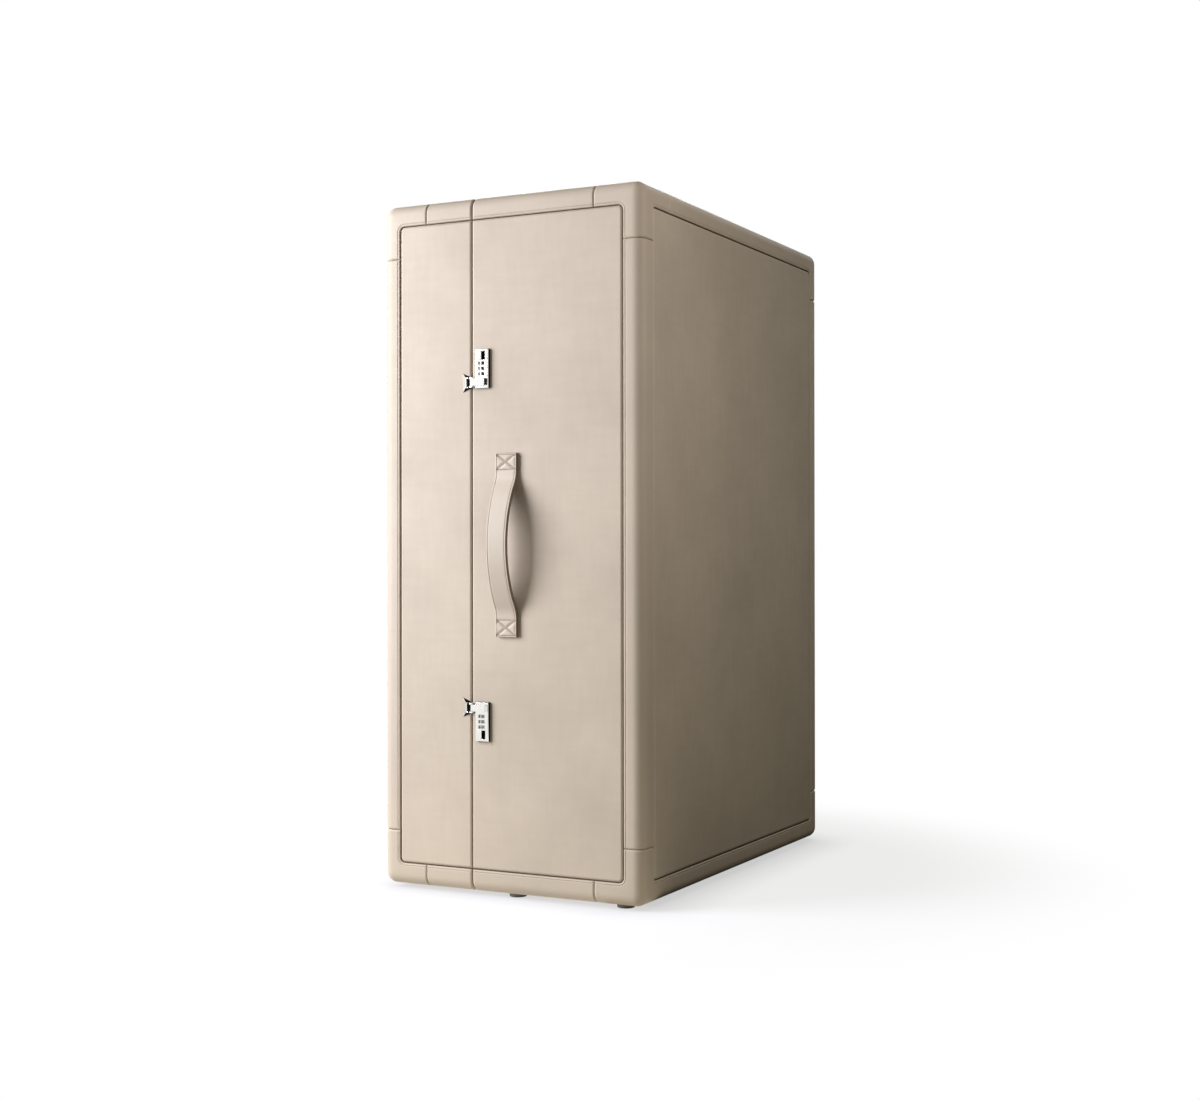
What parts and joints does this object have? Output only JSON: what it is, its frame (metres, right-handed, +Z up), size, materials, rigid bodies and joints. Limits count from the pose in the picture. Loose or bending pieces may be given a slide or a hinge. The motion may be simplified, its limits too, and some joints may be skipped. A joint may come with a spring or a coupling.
{
  "type": "wardrobe trunk",
  "caption": "Upright leather-covered wardrobe trunk: shallow hinged lid tray, deep body tray with drawers and a pull-out hanging rail, combination locks, strap handle, low glides.",
  "frame": {"origin": "on the floor, in the middle of the closed trunk's bounding box, handle and hinges included", "axes": "+Z up along the trunk's height; -Y towards the face with the locks and the handle; -X towards the lid tray, +X towards the body tray"},
  "size_m": [0.512, 0.8798, 1.207],
  "materials": {
    "leather": "smooth, fine grain, semi-matt greige",
    "board": "raw birch plywood",
    "hardwood": "planed hardwood",
    "lining": "short-napped suede cloth",
    "walnut": "oiled walnut",
    "nickel": "polished nickel",
    "glide": "matt, moulded",
    "mirror": "silvered glass"
  },
  "bodies": {
    "trunk_body": {"body_side_board": "board", "body_end_boards": "board", "body_front_board": "board", "body_back_board": "board", "body_rim": "hardwood", "body_linings": "lining", "body_leather_panels": "leather", "body_edge_bindings": "leather", "body_corner_caps": "leather", "body_feet": "glide", "closing_tongue": "nickel", "handle_strap": "leather", "handle_backing": "leather", "lock_plates": "nickel", "lock_spindles": "nickel", "hinge_leaves_body": "nickel", "hinge_pins": "nickel", "hinge_screws_body": "nickel", "partition": "walnut", "drawer_bay_frame": "walnut", "rail_channel": "nickel"},
    "lid": {"lid_side_board": "board", "lid_end_boards": "board", "lid_front_board": "board", "lid_back_board": "board", "lid_rim": "hardwood", "lid_linings": "lining", "lid_leather_panels": "leather", "lid_edge_bindings": "leather", "lid_corner_caps": "leather", "lid_feet": "glide", "hinge_leaves_lid": "nickel", "hinge_screws_lid": "nickel", "hasp_brackets": "nickel", "hasp_pins": "nickel", "shoe_rack": "walnut", "shoe_guard_rods": "nickel", "lid_mirror": "mirror"},
    "hasp_upper": {"hasp_arm_upper": "nickel"},
    "hasp_lower": {"hasp_arm_lower": "nickel"},
    "slider_upper": {"lock_slider_upper": "nickel"},
    "slider_lower": {"lock_slider_lower": "nickel"},
    "dial_upper_1": {"dial_upper_1": "nickel"},
    "dial_upper_2": {"dial_upper_2": "nickel"},
    "dial_upper_3": {"dial_upper_3": "nickel"},
    "dial_lower_1": {"dial_lower_1": "nickel"},
    "dial_lower_2": {"dial_lower_2": "nickel"},
    "dial_lower_3": {"dial_lower_3": "nickel"},
    "drawer_1": {"drawer_1": "walnut", "drawer_1_knob": "nickel"},
    "drawer_2": {"drawer_2": "walnut", "drawer_2_knob": "nickel"},
    "drawer_3": {"drawer_3": "walnut", "drawer_3_knob": "nickel"},
    "drawer_4": {"drawer_4": "walnut", "drawer_4_knob": "nickel"},
    "rail": {"pull_out_rail": "nickel"},
    "hanger_1": {"hanger_1": "walnut"},
    "hanger_2": {"hanger_2": "walnut"},
    "hanger_3": {"hanger_3": "walnut"}
  },
  "joints": [
    {"name": "lid_hinge", "type": "hinge", "parent": "trunk_body", "child": "lid", "pos_m": [-0.0717, 0.43595, 0.6055], "axis": [0, 0, -1], "range_deg": [0, 180]},
    {"name": "hasp_upper_hinge", "type": "hinge", "parent": "lid", "child": "hasp_upper", "pos_m": [-0.0678, -0.40615, 0.8859], "axis": [0, 0, -1], "range_deg": [0, 120]},
    {"name": "slider_upper_slide", "type": "slide", "parent": "trunk_body", "child": "slider_upper", "axis": [1, 0, 0], "range_m": [0, 0.007], "stiffness_N_per_m": 200},
    {"name": "dial_upper_1_spin", "type": "hinge", "parent": "trunk_body", "child": "dial_upper_1", "pos_m": [-0.0492, -0.40185, 0.8999], "axis": [0, 0, 1], "continuous": true},
    {"name": "dial_upper_2_spin", "type": "hinge", "parent": "trunk_body", "child": "dial_upper_2", "pos_m": [-0.0492, -0.40185, 0.9091], "axis": [0, 0, 1], "continuous": true},
    {"name": "dial_upper_3_spin", "type": "hinge", "parent": "trunk_body", "child": "dial_upper_3", "pos_m": [-0.0492, -0.40185, 0.9183], "axis": [0, 0, 1], "continuous": true},
    {"name": "hasp_lower_hinge", "type": "hinge", "parent": "lid", "child": "hasp_lower", "pos_m": [-0.0678, -0.40615, 0.3251], "axis": [0, 0, -1], "range_deg": [0, 120]},
    {"name": "slider_lower_slide", "type": "slide", "parent": "trunk_body", "child": "slider_lower", "axis": [1, 0, 0], "range_m": [0, 0.007], "stiffness_N_per_m": 200},
    {"name": "dial_lower_1_spin", "type": "hinge", "parent": "trunk_body", "child": "dial_lower_1", "pos_m": [-0.0492, -0.40185, 0.2927], "axis": [0, 0, 1], "continuous": true},
    {"name": "dial_lower_2_spin", "type": "hinge", "parent": "trunk_body", "child": "dial_lower_2", "pos_m": [-0.0492, -0.40185, 0.3019], "axis": [0, 0, 1], "continuous": true},
    {"name": "dial_lower_3_spin", "type": "hinge", "parent": "trunk_body", "child": "dial_lower_3", "pos_m": [-0.0492, -0.40185, 0.3111], "axis": [0, 0, 1], "continuous": true},
    {"name": "drawer_1_slide", "type": "slide", "parent": "trunk_body", "child": "drawer_1", "axis": [-1, 0, 0], "range_m": [0, 0.17]},
    {"name": "drawer_2_slide", "type": "slide", "parent": "trunk_body", "child": "drawer_2", "axis": [-1, 0, 0], "range_m": [0, 0.17]},
    {"name": "drawer_3_slide", "type": "slide", "parent": "trunk_body", "child": "drawer_3", "axis": [-1, 0, 0], "range_m": [0, 0.17]},
    {"name": "drawer_4_slide", "type": "slide", "parent": "trunk_body", "child": "drawer_4", "axis": [-1, 0, 0], "range_m": [0, 0.17]},
    {"name": "rail_slide", "type": "slide", "parent": "trunk_body", "child": "rail", "axis": [-1, 0, 0], "range_m": [0, 0.17]},
    {"name": "hanger_1_slide", "type": "slide", "parent": "rail", "child": "hanger_1", "axis": [1, 0, 0], "range_m": [-0.03, 0.03]},
    {"name": "hanger_2_slide", "type": "slide", "parent": "rail", "child": "hanger_2", "axis": [1, 0, 0], "range_m": [-0.03, 0.03]},
    {"name": "hanger_3_slide", "type": "slide", "parent": "rail", "child": "hanger_3", "axis": [1, 0, 0], "range_m": [-0.03, 0.03]}
  ]
}
